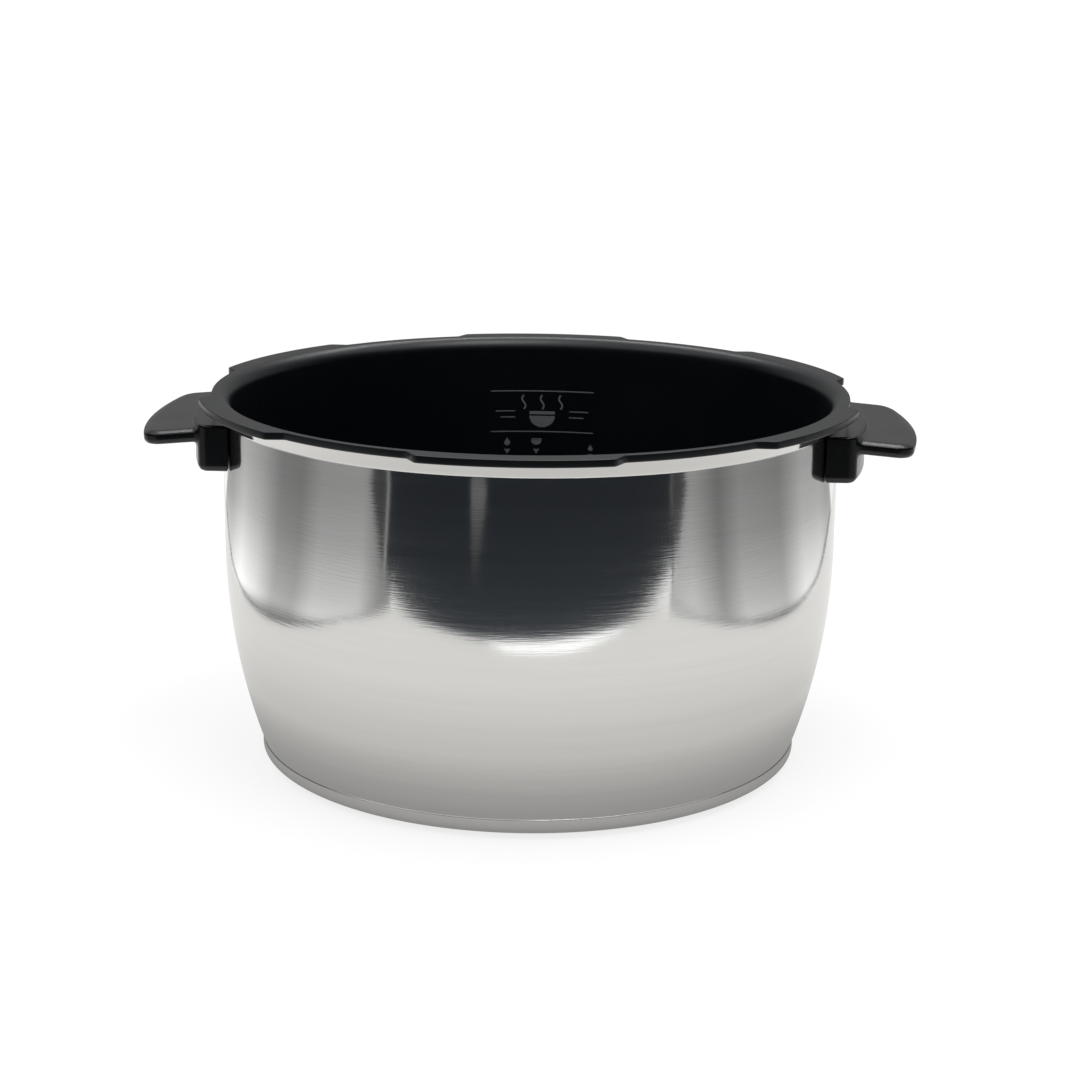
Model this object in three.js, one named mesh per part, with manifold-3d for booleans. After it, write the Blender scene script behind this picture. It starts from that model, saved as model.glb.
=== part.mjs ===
// Inner pot of an electric pressure rice cooker: an aluminium vessel with a six-lug bayonet lip,
// clad in a thin steel skin with a pressed steel base cap, and carried by two moulded side handles
// that are screwed from below to brackets on the skin.
//
// Millimetres, +Z up. The origin is the centre of the underside, +X runs through the right handle
// and -Y is the front.
import * as THREE from "three";
import { mergeVertices } from "three/addons/utils/BufferGeometryUtils.js";
import Module from "manifold-3d";

// ---- Clearances ----
const SEAT_GAP = 0.3; // between faces that touch or are bonded
const HANDLE_GAP = 0.4; // between a handle and the steel wall it hugs
const SCREW_CLEARANCE = 0.35; // round a screw's shank or head in its hole

// ---- Vessel ----
const POT_HEIGHT = 134; // underside to the top of the lip
const WALL_R = 110; // outside of the upright wall
const WALL_T = 3; // skin and aluminium together
const FLOOR_T = 3.5; // base cap and aluminium together
const TAPER_TOP_Z = 79; // the wall is upright above this height
const TAPER_R = 216; // radius of the arc that draws the wall in below it
const CAVITY_CORNER_R = 24; // between the wall and the floor inside

// ---- Lip and bayonet lugs ----
const LIP_T = 2.6;
const LIP_REACH = 3.6; // from the steel wall out to the lip's edge between the lugs
const LIP_INSIDE_ROUND = 5.1; // rolls the lip into the cavity wall
const LUG_REACH = 8.4; // from the steel wall out to a lug's end
const LUG_COUNT = 6;
const LUG_TIP_ANGLE = 30.4; // degrees across a lug's outer corners
const LUG_ROOT_ANGLE = 34.4; // degrees across a lug where it leaves the lip
const FIRST_LUG_AZIMUTH = 30; // degrees from +X, so that the handles lie in gaps

// ---- Steel skin and base cap ----
const SKIN_T = 0.6;
const NECK_DROP = 7.5; // from the lip's top down to the crease where the neck flares
const NECK_FLARE = 3; // how far the neck stands out where it meets the lip
const CAP_T = 0.8;
const CAP_H = 7;
const CAP_PROUD = 0.3; // how far the cap stands out from the skin above it
const FOOT_REACH = 13; // from the cap's rim in to where its flat underside starts
const FOOT_RISE = 4; // how high the curve between them climbs

// ---- Handles ----
const BLOCK_TOP_DROP = 7.5; // from the lip's top down to the block's top
const BLOCK_H = 16.4;
const BLOCK_HALF_W = 40.5;
const BLOCK_REACH = 9.3; // from the steel wall out to the crown of the block's face
const BLOCK_FACE_R = 130; // curve of the face; the wing's tip is concentric with it
const BLOCK_CORNER_R = 3;
const BLOCK_EDGE_R = 1.2;
const WING_TOP_DROP = 9.4; // from the lip's top down to the wing's top at its root
const WING_T = 4.7;
const WING_HALF_W = 37.5;
const WING_REACH = 27.7; // from the steel wall out to the crown of the wing's tip
const WING_CORNER_R = 5.5;
const WING_EDGE_R = 1.8;
const WING_DROOP = 5; // degrees down towards the tip

// ---- Brackets and screws ----
const BRACKET_T = 1.5;
const BRACKET_HALF_W = 32;
const BRACKET_TO_NECK = 2; // from the bracket's top up to the neck's crease
const BRACKET_OVER_HEAD = 0.6; // from the top of a screw's head up to the bracket
const EAR_Y = 20; // across, from the handle's middle to a screw
const EAR_W = 9;
const EAR_RISE = 6.2; // from the block's underside up to an ear
const EAR_MARGIN = 3.4; // from the screw's axis out to the ear's end
const SCREW_INSET = 5.2; // from the block's face at EAR_Y in to the screw's axis
const SCREW_R = 2;
const SCREW_LENGTH = 9; // under the head
const HEAD_R = 3.5;
const HEAD_H = 2.5;
const HEAD_SINK = 0.5; // from the block's underside up to the head
const RECESS_W = 0.9; // one arm of the cross recess
const RECESS_DEPTH = 1.4;

const ROUND_SEGMENTS = 72; // a multiple of LUG_COUNT, so that every lug sits alike on the facets
const SCREW_SEGMENTS = 20;

const LIP_UNDER_Z = POT_HEIGHT - LIP_T;
const NECK_Z = POT_HEIGHT - NECK_DROP;
const CAVITY_R = WALL_R - WALL_T;
const LIP_R = WALL_R + LIP_REACH;
const LUG_R = WALL_R + LUG_REACH;
const TAPER_X = WALL_R - TAPER_R; // the taper arc's centre, beyond the axis
const CAP_R = TAPER_X + Math.sqrt(TAPER_R ** 2 - (TAPER_TOP_Z - CAP_H) ** 2) + CAP_PROUD;
const BLOCK_TOP_Z = POT_HEIGHT - BLOCK_TOP_DROP;
const BLOCK_UNDER_Z = BLOCK_TOP_Z - BLOCK_H;
const FACE_CENTRE_X = WALL_R + BLOCK_REACH - BLOCK_FACE_R;
const WING_TIP_R = BLOCK_FACE_R + WING_REACH - BLOCK_REACH;
const BRACKET_IN_R = WALL_R + SEAT_GAP;
const BRACKET_OUT_R = BRACKET_IN_R + BRACKET_T;
const HEAD_TOP_Z = BLOCK_UNDER_Z + HEAD_SINK + HEAD_H;
const BRACKET_Z = HEAD_TOP_Z + BRACKET_OVER_HEAD;
const BRACKET_TOP_Z = NECK_Z - BRACKET_TO_NECK;
const EAR_Z = BLOCK_UNDER_Z + EAR_RISE;
const SCREW_X = FACE_CENTRE_X + Math.sqrt(BLOCK_FACE_R ** 2 - EAR_Y ** 2) - SCREW_INSET;

const wasm = await Module();
wasm.setup();

const radians = THREE.MathUtils.degToRad;
const point = (x, y) => new THREE.Vector2(x, y);

// ---- Solids ----

function solid(geometry) {
  const bare = geometry.index ? geometry.toNonIndexed() : geometry.clone();
  bare.deleteAttribute("normal");
  bare.deleteAttribute("uv");
  const merged = mergeVertices(bare, 1e-4);
  return new wasm.Manifold(
    new wasm.Mesh({
      numProp: 3,
      vertProperties: merged.attributes.position.array,
      triVerts: new Uint32Array(merged.index.array),
    }),
  );
}

function geometryOf(manifold) {
  const mesh = manifold.getMesh();
  const geometry = new THREE.BufferGeometry()
    .setAttribute("position", new THREE.BufferAttribute(mesh.vertProperties, 3))
    .setIndex(new THREE.BufferAttribute(mesh.triVerts, 1));
  geometry.computeVertexNormals();
  return geometry;
}

// Revolves a profile of (radius, height) points round Z; it runs up the outside and back inside.
function revolved(profile, segments = ROUND_SEGMENTS) {
  return new THREE.LatheGeometry(profile, segments).rotateX(Math.PI / 2);
}

function ring(innerR, outerR, lowZ, highZ) {
  const corners = [
    point(innerR, lowZ),
    point(outerR, lowZ),
    point(outerR, highZ),
    point(innerR, highZ),
    point(innerR, lowZ),
  ];
  return solid(revolved(corners));
}

function box(lowX, highX, lowY, highY, lowZ, highZ) {
  const size = new THREE.BoxGeometry(highX - lowX, highY - lowY, highZ - lowZ);
  return solid(size.translate((lowX + highX) / 2, (lowY + highY) / 2, (lowZ + highZ) / 2));
}

function rod(x, y, radius, lowZ, highZ) {
  const cylinder = new THREE.CylinderGeometry(radius, radius, highZ - lowZ, SCREW_SEGMENTS);
  return solid(cylinder.rotateX(Math.PI / 2).translate(x, y, (lowZ + highZ) / 2));
}

function arc(centreX, centreY, radius, from, to, steps) {
  return Array.from({ length: steps + 1 }, (_, i) => {
    const angle = from + ((to - from) * i) / steps;
    return point(centreX + radius * Math.cos(angle), centreY + radius * Math.sin(angle));
  });
}

// ---- Profiles of the vessel, in (radius, height) ----

// The wall's lower part, from the height lowZ up to the upright wall, set in by inset.
function taper(inset, lowZ, steps) {
  const radius = TAPER_R - inset;
  const from = Math.asin((lowZ - TAPER_TOP_Z) / radius);
  return arc(TAPER_X, TAPER_TOP_Z, radius, from, 0, steps);
}

// The neck's two ends, at the crease and at the height topZ, set in by inset.
function neck(inset, topZ) {
  const flare = Math.atan(NECK_FLARE / (NECK_DROP - LIP_T));
  const creaseZ = NECK_Z + inset * Math.tan(flare / 2);
  const creaseR = WALL_R - inset;
  return [
    point(creaseR, creaseZ),
    point(creaseR + (topZ - creaseZ) * Math.tan(flare), topZ),
  ];
}

// The base's flat, its curved edge and its rim, set in by inset, from the axis out and up to topZ.
function foot(inset, topZ) {
  const quarter = arc(0, 0, 1, -Math.PI / 2, 0, 5);
  const reach = FOOT_REACH - inset;
  const rise = FOOT_RISE - inset;
  return [
    point(0, inset),
    ...quarter.map(({ x, y }) => point(CAP_R - FOOT_REACH + reach * x, FOOT_RISE + rise * y)),
    point(CAP_R - inset, topZ),
  ];
}

// The cavity, from the lip's flat top down the wall and across the floor to the axis.
function cavity() {
  const taperR = TAPER_R - WALL_T;
  const cornerZ = FLOOR_T + CAVITY_CORNER_R;
  const centres = taperR - CAVITY_CORNER_R;
  const cornerX = TAPER_X + Math.sqrt(centres ** 2 - (cornerZ - TAPER_TOP_Z) ** 2);
  const tangent = Math.atan2(cornerZ - TAPER_TOP_Z, cornerX - TAPER_X);
  const roundX = CAVITY_R + LIP_INSIDE_ROUND;
  const roundZ = POT_HEIGHT - LIP_INSIDE_ROUND;
  return [
    ...arc(roundX, roundZ, LIP_INSIDE_ROUND, Math.PI / 2, Math.PI, 4),
    ...arc(TAPER_X, TAPER_TOP_Z, taperR, 0, tangent, 5),
    ...arc(cornerX, cornerZ, CAVITY_CORNER_R, tangent, -Math.PI / 2, 6).slice(1),
    point(0, FLOOR_T),
  ];
}

// ---- Pieces ----

// A bayonet lug, centred on +X and rooted in the middle of the lip.
function lug() {
  const tip = radians(LUG_TIP_ANGLE / 2);
  const root = radians(LUG_ROOT_ANGLE / 2);
  const rootR = (LIP_R + CAVITY_R + LIP_INSIDE_ROUND) / 2;
  const outline = new THREE.Shape([
    ...arc(0, 0, LUG_R, -tip, tip, 6),
    point(LIP_R * Math.cos(root), LIP_R * Math.sin(root)),
    ...arc(0, 0, rootR, root, -root, 6),
    point(LIP_R * Math.cos(root), -LIP_R * Math.sin(root)),
  ]);
  const plate = { depth: LIP_T, bevelEnabled: false };
  return new THREE.ExtrudeGeometry(outline, plate).translate(0, 0, LIP_UNDER_Z);
}

function potBody() {
  const inset = SKIN_T + SEAT_GAP;
  const profile = [
    ...foot(CAP_T + SEAT_GAP, CAP_H),
    ...taper(inset, CAP_H + SEAT_GAP, 5),
    ...neck(inset, LIP_UNDER_Z),
    point(LIP_R, LIP_UNDER_Z),
    point(LIP_R, POT_HEIGHT),
    ...cavity(),
  ];
  let body = solid(revolved(profile));
  for (let i = 0; i < LUG_COUNT; i++) {
    const azimuth = radians(FIRST_LUG_AZIMUTH + (360 / LUG_COUNT) * i);
    body = body.add(solid(lug().rotateZ(azimuth)));
  }
  return geometryOf(body);
}

function steelSkin() {
  const lowZ = CAP_H + SEAT_GAP;
  const topZ = LIP_UNDER_Z - SEAT_GAP;
  const outside = [...taper(0, lowZ, 5), ...neck(0, topZ)];
  const inside = [...taper(SKIN_T, lowZ, 5), ...neck(SKIN_T, topZ)].reverse();
  return revolved([...outside, ...inside, outside[0]]);
}

function baseCap() {
  return revolved([...foot(0, CAP_H), ...foot(CAP_T, CAP_H).reverse()]);
}

// A plan outline from innerX out to a face of radius faceR, with rounded corners.
function sector(innerX, faceR, halfWidth, cornerR) {
  const cornerY = halfWidth - cornerR;
  const fromCentre = Math.sqrt((faceR - cornerR) ** 2 - cornerY ** 2);
  const cornerX = FACE_CENTRE_X + fromCentre;
  const turn = Math.atan2(cornerY, fromCentre);
  return new THREE.Shape([
    point(innerX, -halfWidth),
    ...arc(cornerX, -cornerY, cornerR, -Math.PI / 2, -turn, 3),
    ...arc(FACE_CENTRE_X, 0, faceR, -turn, turn, 10).slice(1),
    ...arc(cornerX, cornerY, cornerR, turn, Math.PI / 2, 3).slice(1),
    point(innerX, halfWidth),
  ]);
}

// Extrudes an outline up to topZ, with its upper and lower edges rounded inwards.
function slab(outline, topZ, thickness, edgeR) {
  const settings = {
    depth: thickness - 2 * edgeR,
    bevelThickness: edgeR,
    bevelSize: edgeR,
    bevelOffset: -edgeR,
    bevelSegments: 2,
  };
  return new THREE.ExtrudeGeometry(outline, settings).translate(0, 0, topZ - thickness + edgeR);
}

// The steel wall and neck, grown by HANDLE_GAP and carried on past the handle.
function wallEnvelope() {
  const outside = neck(-HANDLE_GAP, POT_HEIGHT);
  return solid(revolved([
    point(0, BLOCK_UNDER_Z - BLOCK_H),
    point(outside[0].x, BLOCK_UNDER_Z - BLOCK_H),
    ...outside,
    point(0, POT_HEIGHT),
  ]));
}

function wing() {
  const rootX = WALL_R + 2 * WING_EDGE_R;
  const outline = sector(rootX, WING_TIP_R, WING_HALF_W, WING_CORNER_R);
  const flat = slab(outline, 0, WING_T, WING_EDGE_R).translate(-rootX, 0, 0);
  return flat.rotateY(radians(WING_DROOP)).translate(rootX, 0, POT_HEIGHT - WING_TOP_DROP);
}

// The room inside the block for the bracket's strip.
function stripPocket() {
  const outerR = BRACKET_OUT_R + SEAT_GAP;
  const halfW = BRACKET_HALF_W + SEAT_GAP;
  return ring(WALL_R, outerR, BRACKET_Z - SEAT_GAP, BRACKET_TOP_Z + SEAT_GAP)
    .intersect(box(0, outerR, -halfW, halfW, 0, POT_HEIGHT));
}

// The room for one ear, its screw's head and its screw's shank.
function screwPocket(rootX, y) {
  const halfW = EAR_W / 2 + SEAT_GAP;
  const endX = SCREW_X + EAR_MARGIN + SEAT_GAP;
  const seatZ = HEAD_TOP_Z + SEAT_GAP;
  return box(rootX, endX, y - halfW, y + halfW, EAR_Z - SEAT_GAP, EAR_Z + BRACKET_T + SEAT_GAP)
    .add(rod(SCREW_X, y, HEAD_R + SCREW_CLEARANCE, BLOCK_UNDER_Z - 1, seatZ))
    .add(rod(SCREW_X, y, SCREW_R + SCREW_CLEARANCE, BLOCK_UNDER_Z, seatZ + SCREW_LENGTH));
}

function handle() {
  const rootX = Math.sqrt(WALL_R ** 2 - BLOCK_HALF_W ** 2) - 2 * BLOCK_EDGE_R;
  const outline = sector(rootX, BLOCK_FACE_R, BLOCK_HALF_W, BLOCK_CORNER_R);
  const block = slab(outline, BLOCK_TOP_Z, BLOCK_H, BLOCK_EDGE_R);
  return geometryOf(
    solid(block)
      .add(solid(wing()))
      .subtract(wallEnvelope())
      .subtract(stripPocket())
      .subtract(screwPocket(rootX, -EAR_Y))
      .subtract(screwPocket(rootX, EAR_Y)),
  );
}

function bracket() {
  const strip = ring(BRACKET_IN_R, BRACKET_OUT_R, BRACKET_Z, BRACKET_TOP_Z)
    .intersect(box(0, BRACKET_OUT_R, -BRACKET_HALF_W, BRACKET_HALF_W, 0, POT_HEIGHT));
  const rootX = Math.sqrt(BRACKET_OUT_R ** 2 - (EAR_Y - EAR_W / 2) ** 2) - BRACKET_T;
  const endX = SCREW_X + EAR_MARGIN;
  const ears = [-EAR_Y, EAR_Y].map((y) =>
    box(rootX, endX, y - EAR_W / 2, y + EAR_W / 2, EAR_Z, EAR_Z + BRACKET_T)
      .subtract(rod(SCREW_X, y, SCREW_R + SCREW_CLEARANCE, EAR_Z - 1, EAR_Z + BRACKET_T + 1)));
  return geometryOf(ears.reduce((body, ear) => body.add(ear), strip));
}

// A pan-head screw, head down, standing on its own origin.
function screw() {
  const tipZ = HEAD_H + SCREW_LENGTH;
  const profile = [
    point(0, 0),
    point(0.6 * HEAD_R, 0),
    point(0.92 * HEAD_R, 0.3 * HEAD_H),
    point(HEAD_R, 0.7 * HEAD_H),
    point(HEAD_R, HEAD_H),
    point(SCREW_R, HEAD_H),
    point(SCREW_R, tipZ - 0.5 * SCREW_R),
    point(0.6 * SCREW_R, tipZ),
    point(0, tipZ),
  ];
  const arm = 0.5 * HEAD_R;
  const half = RECESS_W / 2;
  return geometryOf(
    solid(revolved(profile, SCREW_SEGMENTS))
      .subtract(box(-arm, arm, -half, half, -1, RECESS_DEPTH))
      .subtract(box(-half, half, -arm, arm, -1, RECESS_DEPTH)),
  );
}

// ---- Assembly ----

const COATING = { color: 0x101214, roughness: 0.42, metalness: 0.1 };
const STEEL = { color: 0xc9c8c5, roughness: 0.28, metalness: 1 };
const BRACKET_STEEL = { color: 0xb4b5b6, roughness: 0.4, metalness: 1 };
const PLASTIC = { color: 0x15171a, roughness: 0.38, metalness: 0 };
const SCREW_STEEL = { color: 0xa9abad, roughness: 0.35, metalness: 1 };

const pot = new THREE.Group();

function piece(parent, name, geometry, look) {
  const mesh = new THREE.Mesh(geometry, new THREE.MeshStandardMaterial(look));
  mesh.name = name;
  parent.add(mesh);
  return mesh;
}

piece(pot, "pot_body", potBody(), COATING);
piece(pot, "steel_skin", steelSkin(), STEEL);
piece(pot, "base_cap", baseCap(), STEEL);

for (const [side, turn] of [["right", 0], ["left", Math.PI]]) {
  const carrier = new THREE.Group();
  carrier.rotation.z = turn;
  pot.add(carrier);
  piece(carrier, "handle_" + side, handle(), PLASTIC);
  piece(carrier, "bracket_" + side, bracket(), BRACKET_STEEL);
  const frontY = side === "right" ? -EAR_Y : EAR_Y;
  for (const [end, y] of [["front", frontY], ["rear", -frontY]]) {
    const name = "screw_" + side + "_" + end;
    piece(carrier, name, screw(), SCREW_STEEL).position.set(SCREW_X, y, BLOCK_UNDER_Z + HEAD_SINK);
  }
}

export default pot;
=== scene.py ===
"""Looks of a pressure rice cooker's inner pot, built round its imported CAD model.

Metres, +Z up, in the row frame: the origin is the centre of the underside, +X runs through the
right handle and -Y is the front.
"""

import math

import bpy
import numpy as np
from mathutils import Matrix, Vector


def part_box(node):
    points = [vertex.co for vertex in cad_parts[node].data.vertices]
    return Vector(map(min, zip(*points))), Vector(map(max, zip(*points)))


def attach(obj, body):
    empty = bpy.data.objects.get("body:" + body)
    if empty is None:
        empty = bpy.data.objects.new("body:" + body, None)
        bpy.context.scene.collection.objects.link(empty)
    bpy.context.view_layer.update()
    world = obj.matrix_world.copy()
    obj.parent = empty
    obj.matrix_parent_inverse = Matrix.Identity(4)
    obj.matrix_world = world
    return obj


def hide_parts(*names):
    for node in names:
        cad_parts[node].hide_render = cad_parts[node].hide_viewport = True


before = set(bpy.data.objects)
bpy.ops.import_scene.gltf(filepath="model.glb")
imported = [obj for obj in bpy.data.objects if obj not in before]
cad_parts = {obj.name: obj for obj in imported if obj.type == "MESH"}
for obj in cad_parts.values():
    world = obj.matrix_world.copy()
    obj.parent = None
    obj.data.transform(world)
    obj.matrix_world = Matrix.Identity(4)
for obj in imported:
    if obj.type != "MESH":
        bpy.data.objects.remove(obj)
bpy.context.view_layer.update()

POT_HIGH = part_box("pot_body")[1]
CAP_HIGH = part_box("base_cap")[1]
HANDLE_LOW, HANDLE_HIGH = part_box("handle_right")
STRIP_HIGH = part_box("bracket_right")[1]
SCREW_LOW, SCREW_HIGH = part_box("screw_right_rear")

# ---- Vessel ----
LIP_Z = POT_HIGH.z
LUG_R = POT_HIGH.y  # one lug is centred on +Y
WALL_R = 0.110
WALL_T = 0.003
FLOOR_T = 0.0035
TAPER_TOP_Z = 0.079
TAPER_R = 0.216
TAPER_X = WALL_R - TAPER_R
CAVITY_CORNER_R = 0.024
CAVITY_R = WALL_R - WALL_T
LIP_T = 0.0026
LIP_R = 0.1136
LIP_INSIDE_ROUND = 0.0051
LIP_TOP_EDGE_R = 0.0003
LIP_UNDER_EDGE_R = 0.0005
LUG_COUNT = 6
LUG_TIP_HALF = math.radians(15.4)
LUG_ROOT_HALF = math.radians(17.6)
LUG_CORNER_BLUR = math.radians(0.3)
FIRST_LUG_AZIMUTH = math.radians(30)

# ---- Steel ----
SKIN_T = 0.0006
SEAT_GAP = 0.0003
HAIRLINE = 0.00005
NECK_Z = LIP_Z - 0.0075
NECK_FLARE = math.atan(3 / 4.9)
NECK_CREASE_R = 0.0012
CAP_T = 0.0008
CAP_H = CAP_HIGH.z
CAP_R = CAP_HIGH.x
FOOT_REACH = 0.013
FOOT_RISE = 0.004

# ---- Handles ----
HANDLE_GAP = 0.0004
HANDLE_WALL_EDGE_R = 0.0004
BLOCK_TOP_Z = HANDLE_HIGH.z
BLOCK_UNDER_Z = HANDLE_LOW.z
BLOCK_HALF_W = HANDLE_HIGH.y
BLOCK_FACE_R = 0.130
BLOCK_CROWN_X = 0.1193
BLOCK_CORNER_R = 0.003
BLOCK_TOP_EDGE_R = 0.0007
BLOCK_UNDER_EDGE_R = 0.0022
FACE_CENTRE_X = BLOCK_CROWN_X - BLOCK_FACE_R
WING_ROOT_X = WALL_R + 0.0036
WING_TOP_Z = LIP_Z - 0.0094
WING_T = 0.0047
WING_HALF_W = 0.0375
WING_TIP_R = HANDLE_HIGH.x - FACE_CENTRE_X
WING_CORNER_R = 0.0055
WING_DROOP = math.radians(5)
WING_CHAMFER_W = 0.0028
WING_CHAMFER_H = 0.0009
WING_TOP_EDGE_R = 0.0005
WING_CREASE_R = 0.0003
WING_UNDER_EDGE_R = 0.0019
WING_FILLET_R = 0.0016
HANDLE_STEP = 0.00042
HANDLE_CREASE = 70

# ---- Screws ----
SCREW_X = (SCREW_LOW.x + SCREW_HIGH.x) / 2
SCREW_Y = (SCREW_LOW.y + SCREW_HIGH.y) / 2
SCREW_R = 0.002
HEAD_R = (SCREW_HIGH.x - SCREW_LOW.x) / 2
HEAD_H = 0.0025
HEAD_EDGE_R = 0.0012
HEAD_SEAT_EDGE_R = 0.0002
HEAD_CLEARANCE = 0.00035
SCREW_LENGTH = SCREW_HIGH.z - SCREW_LOW.z
THREAD_PITCH = 0.0008
THREAD_DEPTH = 0.00022
THREAD_FLANK = 0.6  # share of the radial distance that is square to a flank
RECESS_HALF_W = 0.00045
RECESS_ARM = 0.00175
RECESS_DEPTH = 0.0014
RECESS_SIDE_TAPER = 0.25
RECESS_END_TAPER = 0.5
SCREW_STEP = 0.00014
SCREW_CREASE = 50

# ---- Brackets, for the handles' pockets ----
STRIP_ROOM = 0.0021  # from the steel wall out to the pocket's face
EAR_HALF_W = 0.0045
EAR_Z = BLOCK_UNDER_Z + 0.00695
EAR_ROOM_HALF_H = 0.00105

# ---- Meshes ----

ROUND_STEPS = 840
PLAIN_CREASE = 30
SETTLING_ROUNDS = 12


def new_piece(name, vertices, faces, material, replaced, crease=PLAIN_CREASE):
    """A smooth-shaded mesh on the root body, its edges sharp above crease degrees."""
    mesh = bpy.data.meshes.new(name)
    mesh.from_pydata([tuple(v) for v in vertices], [], faces)
    mesh.validate()
    mesh.polygons.foreach_set("use_smooth", [True] * len(mesh.polygons))
    mesh.set_sharp_from_angle(angle=math.radians(crease))
    mesh.materials.append(material)
    piece = bpy.data.objects.new(name, mesh)
    bpy.context.scene.collection.objects.link(piece)
    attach(piece, "root")
    if replaced:
        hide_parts(replaced)


def arc(centre_r, centre_z, radius, start, end, steps):
    """Points (r, z) along an arc, the ends included."""
    return [
        (centre_r + radius * math.cos(a), centre_z + radius * math.sin(a))
        for a in np.linspace(start, end, steps + 1)
    ]


def line(start, end, steps):
    """Points from start towards end, the end left out."""
    return [
        tuple(a + (b - a) * i / steps for a, b in zip(start, end)) for i in range(steps)
    ]


def revolved(profile, reach=None):
    """Vertices and faces of a closed (r, z) profile turned round Z. It runs counter-clockwise
    from the axis back to the axis, or all the way round where no point is on the axis. reach
    gives each point's outward move as a function of the azimuth."""
    angles = np.linspace(0, 2 * math.pi, ROUND_STEPS, endpoint=False)
    cosine, sine = np.cos(angles), np.sin(angles)
    vertices, rings = [], []
    for i, (r, z) in enumerate(profile):
        if r < 1e-9:
            rings.append([len(vertices)] * ROUND_STEPS)
            vertices.append((0, 0, z))
            continue
        radii = r + (reach(i, angles) if reach else 0 * angles)
        rings.append(list(range(len(vertices), len(vertices) + ROUND_STEPS)))
        vertices.extend(zip(radii * cosine, radii * sine, [z] * ROUND_STEPS))
    loop = profile[0][0] > 1e-9
    pairs = list(zip(rings, rings[1:])) + ([(rings[-1], rings[0])] if loop else [])
    faces = []
    for low, high in pairs:
        for j in range(ROUND_STEPS):
            k = (j + 1) % ROUND_STEPS
            corners = (low[j], low[k], high[k], high[j])
            faces.append(tuple(dict.fromkeys(corners)))
    return vertices, faces


def rounded_both(a, b, radius):
    """Distance to the part common to two solids, their shared edge rounded."""
    outer = np.hypot(np.maximum(a + radius, 0), np.maximum(b + radius, 0))
    return np.minimum(-radius, np.maximum(a, b)) + outer


def filleted(a, b, radius):
    """Distance to the union of two solids, their shared corner filled."""
    return -rounded_both(-a, -b, radius)


def surface_of(distance, low, high, step):
    """A closed quad surface where distance is zero, its vertices drawn onto that level."""
    axes = [np.arange(a - 2 * step, b + 3 * step, step) for a, b in zip(low, high)]
    field = distance(*np.meshgrid(*axes, indexing="ij"))
    inside = field < 0
    cells = tuple(n - 1 for n in inside.shape)
    count = np.zeros(cells, int)
    for dx in (0, 1):
        for dy in (0, 1):
            for dz in (0, 1):
                count += inside[dx:, dy:, dz:][: cells[0], : cells[1], : cells[2]]
    mixed = (count > 0) & (count < 8)
    index = np.full(cells, -1)
    index[mixed] = np.arange(mixed.sum())
    origin = np.array([a[0] for a in axes])
    points = origin + (np.argwhere(mixed) + 0.5) * step
    faces = []
    for axis in range(3):
        near = [slice(None)] * 3
        far = [slice(None)] * 3
        near[axis], far[axis] = slice(None, -1), slice(1, None)
        first, second = inside[tuple(near)], inside[tuple(far)]
        u, v = (axis + 1) % 3, (axis + 2) % 3
        for edges, outward in ((first & ~second, True), (~first & second, False)):
            at = np.argwhere(edges)
            ring = []
            for du, dv in ((-1, -1), (0, -1), (0, 0), (-1, 0)):
                cell = at.copy()
                cell[:, u] += du
                cell[:, v] += dv
                ring.append(index[tuple(cell.T)])
            quads = np.stack(ring if outward else ring[::-1], axis=1)
            faces.append(quads)
    faces = np.concatenate(faces)
    for _ in range(SETTLING_ROUNDS):
        points = relaxed(points, faces)
        points = drawn_on(distance, points, step)
    return drawn_on(distance, points, step), faces.tolist()


def relaxed(points, faces):
    """Each vertex moved half way to the mean of its neighbours."""
    total = np.zeros_like(points)
    number = np.zeros(len(points))
    for i in range(4):
        for j in (i - 1, (i + 1) % 4):
            np.add.at(total, faces[:, i], points[faces[:, j]])
            np.add.at(number, faces[:, i], 1)
    return 0.5 * points + 0.5 * total / number[:, None]


def drawn_on(distance, points, step):
    """Each vertex moved along the gradient onto the zero level, by up to one step."""
    nudge = 0.05 * step
    value = distance(*points.T)
    slope = np.stack(
        [
            distance(*(points + nudge * unit).T) - distance(*(points - nudge * unit).T)
            for unit in np.eye(3)
        ],
        axis=1,
    ) / (2 * nudge)
    move = -value[:, None] * slope / np.maximum((slope**2).sum(1), 0.1)[:, None]
    length = np.linalg.norm(move, axis=1, keepdims=True)
    return points + move * np.minimum(1, step / np.maximum(length, 1e-12))


# ---- Materials ----

TURNING_DEPTH = 0.000009


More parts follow.
